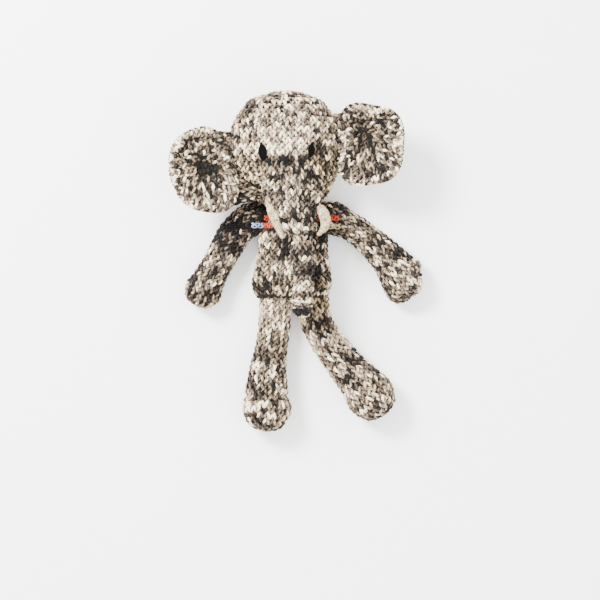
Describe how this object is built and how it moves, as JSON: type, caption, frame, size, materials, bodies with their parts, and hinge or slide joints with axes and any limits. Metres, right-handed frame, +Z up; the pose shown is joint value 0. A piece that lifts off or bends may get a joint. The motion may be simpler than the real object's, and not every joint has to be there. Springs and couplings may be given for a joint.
{
  "type": "knitted elephant hand puppet",
  "caption": "soft hand-knitted elephant glove puppet with open sleeve, stuffed head, large dished ears, bending trunk, small tusks and floppy stuffed arms and legs",
  "frame": {"origin": "on the surface the puppet lies on, under the middle of its outline", "axes": "+Z up out of the puppet's front, +Y towards the crown of the head, +X towards the puppet's left hand, which is the viewer's right"},
  "size_m": [0.2814, 0.376, 0.093],
  "materials": {
    "knit_marl": "marled cream, taupe and charcoal hand-spun yarn, matte knit",
    "knit_cream": "cream yarn, matte knit",
    "wadding": "loose fibre stuffing",
    "eye_black": "black felt",
    "band_coral": "coral, cream and pale blue yarn, matte knit"
  },
  "bodies": {
    "sleeve": {"body_sleeve": "knit_marl", "hem_band": "knit_marl", "neck_band": "band_coral"},
    "neck": {"neck_seam": "knit_marl"},
    "head": {"head_cover": "knit_marl", "head_stuffing": "wadding", "finger_pocket": "knit_cream", "eye_left": "eye_black", "eye_right": "eye_black"},
    "ear_left": {"ear_left": "knit_marl"},
    "ear_right": {"ear_right": "knit_marl"},
    "trunk_seam": {"trunk_seam": "knit_marl"},
    "trunk_root": {"trunk_root_cover": "knit_marl", "trunk_root_stuffing": "wadding", "tusk_left": "knit_cream", "tusk_right": "knit_cream"},
    "trunk_middle": {"trunk_middle_cover": "knit_marl", "trunk_middle_stuffing": "wadding"},
    "trunk_tip": {"trunk_tip_cover": "knit_marl", "trunk_tip_stuffing": "wadding"},
    "arm_left_seam": {"arm_left_seam": "knit_marl"},
    "arm_left": {"arm_left_cover": "knit_marl", "arm_left_stuffing": "wadding"},
    "arm_right_seam": {"arm_right_seam": "knit_marl"},
    "arm_right": {"arm_right_cover": "knit_marl", "arm_right_stuffing": "wadding"},
    "leg_left_seam": {"leg_left_seam": "knit_marl"},
    "leg_left": {"leg_left_cover": "knit_marl", "leg_left_stuffing": "wadding"},
    "leg_right_seam": {"leg_right_seam": "knit_marl"},
    "leg_right": {"leg_right_cover": "knit_marl", "leg_right_stuffing": "wadding"}
  },
  "joints": [
    {"name": "head_nod", "type": "hinge", "parent": "sleeve", "child": "neck", "pos_m": [-0.008, 0.06, 0.024], "axis": [1, 0, 0], "range_deg": [0, 20]},
    {"name": "head_tilt", "type": "hinge", "parent": "neck", "child": "head", "pos_m": [-0.008, 0.06, 0.024], "axis": [0, 0, 1], "range_deg": [-8, 8]},
    {"name": "ear_left_flap", "type": "hinge", "parent": "head", "child": "ear_left", "pos_m": [-0.0765, 0.1025, 0.06], "axis": [0, 1, 0], "range_deg": [0, 70]},
    {"name": "ear_right_flap", "type": "hinge", "parent": "head", "child": "ear_right", "pos_m": [0.05, 0.1275, 0.06], "axis": [0, -1, 0], "range_deg": [0, 70]},
    {"name": "trunk_rest", "type": "hinge", "parent": "head", "child": "trunk_seam", "pos_m": [-0.006, 0.08, 0.063], "axis": [-1, 0, 0], "range_deg": [0, 20]},
    {"name": "trunk_lift", "type": "hinge", "parent": "trunk_seam", "child": "trunk_root", "pos_m": [-0.006, 0.08, 0.063], "axis": [-1, 0, 0], "range_deg": [0, 46]},
    {"name": "trunk_swing", "type": "hinge", "parent": "trunk_root", "child": "trunk_middle", "pos_m": [0.0045, 0.014, 0.069], "axis": [0, 0, 1], "range_deg": [-30, 30]},
    {"name": "trunk_curl", "type": "hinge", "parent": "trunk_middle", "child": "trunk_tip", "pos_m": [0.006, -0.024, 0.069], "axis": [-1, 0, 0], "range_deg": [0, 80]},
    {"name": "arm_left_swing", "type": "hinge", "parent": "sleeve", "child": "arm_left_seam", "pos_m": [-0.065, 0.043, 0.016], "axis": [0, 0, 1], "range_deg": [-60, 20]},
    {"name": "arm_left_lift", "type": "hinge", "parent": "arm_left_seam", "child": "arm_left", "pos_m": [-0.065, 0.043, 0.016], "axis": [-0.8858, 0.464, 0], "range_deg": [0, 45]},
    {"name": "arm_right_swing", "type": "hinge", "parent": "sleeve", "child": "arm_right_seam", "pos_m": [0.055, 0.043, 0.016], "axis": [0, 0, -1], "range_deg": [-60, 20]},
    {"name": "arm_right_lift", "type": "hinge", "parent": "arm_right_seam", "child": "arm_right", "pos_m": [0.055, 0.043, 0.016], "axis": [-0.6156, -0.788, 0], "range_deg": [0, 45]},
    {"name": "leg_left_splay", "type": "hinge", "parent": "sleeve", "child": "leg_left_seam", "pos_m": [-0.025, -0.065, 0.019], "axis": [0, 0, -1], "range_deg": [0, 50]},
    {"name": "leg_left_lift", "type": "hinge", "parent": "leg_left_seam", "child": "leg_left", "pos_m": [-0.025, -0.065, 0.019], "axis": [-0.9916, 0.1293, 0], "range_deg": [0, 50]},
    {"name": "leg_right_splay", "type": "hinge", "parent": "sleeve", "child": "leg_right_seam", "pos_m": [0.0165, -0.065, 0.019], "axis": [0, 0, 1], "range_deg": [-30, 22]},
    {"name": "leg_right_lift", "type": "hinge", "parent": "leg_right_seam", "child": "leg_right", "pos_m": [0.0165, -0.065, 0.019], "axis": [-0.8206, -0.5715, 0], "range_deg": [0, 50]}
  ],
  "couplings": [
    {"joint": "trunk_rest", "follows": "head_nod", "ratio": 1}
  ]
}
